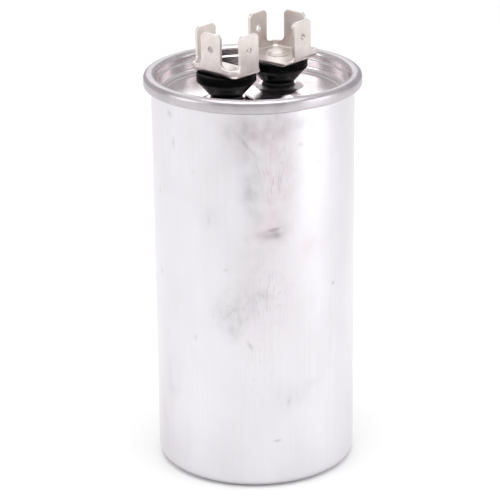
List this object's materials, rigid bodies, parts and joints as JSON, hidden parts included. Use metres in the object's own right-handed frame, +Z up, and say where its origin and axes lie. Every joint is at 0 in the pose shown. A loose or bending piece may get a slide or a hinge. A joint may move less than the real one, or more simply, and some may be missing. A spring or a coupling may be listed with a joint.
{
  "type": "motor run capacitor",
  "caption": "Round metal can with a folded rim and a recessed lid, and on the lid black insulated posts that carry upright push-on tabs.",
  "frame": {"origin": "centre of the can's flat bottom", "axes": "+Z up along the can's axis, towards the posts; the front post stands on the -X -Y side and the rear post on the +X +Y side"},
  "size_m": [0.0538, 0.0538, 0.1131],
  "materials": {
    "can_aluminium": "bare drawn aluminium, satin, lightly scuffed",
    "lid_tinplate": "pressed tinplate, satin",
    "seam_compound": "cured lining compound",
    "tinned_brass": "tinned brass sheet, satin",
    "rivet_brass": "tinned brass, headed",
    "insulator_plastic": "moulded black phenolic, glossy",
    "gasket_rubber": "moulded rubber",
    "bushing_plastic": "moulded nylon",
    "lead_insulation": "insulated copper wire",
    "film": "wound metallised polypropylene film",
    "zinc_spray": "sprayed zinc, grainy",
    "wrap_film": "clear wrap film",
    "core_plastic": "extruded polypropylene tube",
    "cup_plastic": "moulded polypropylene",
    "pressboard": "pressboard"
  },
  "bodies": {
    "root": {"bottom_cup": "cup_plastic", "bottom_spacer": "pressboard", "bushing_front": "bushing_plastic", "bushing_rear": "bushing_plastic", "can": "can_aluminium", "core_tube": "core_plastic", "end_spray_bottom": "zinc_spray", "end_spray_top": "zinc_spray", "film_winding": "film", "gasket_front": "gasket_rubber", "gasket_rear": "gasket_rubber", "insulator_front": "insulator_plastic", "insulator_rear": "insulator_plastic", "lead_front": "lead_insulation", "lead_rear": "lead_insulation", "lid": "lid_tinplate", "lug_front": "tinned_brass", "lug_rear": "tinned_brass", "outer_wrap": "wrap_film", "rivet_front": "rivet_brass", "rivet_rear": "rivet_brass", "seam_compound": "seam_compound", "terminal_front": "tinned_brass", "terminal_rear": "tinned_brass", "top_disc": "cup_plastic"}
  },
  "joints": []
}
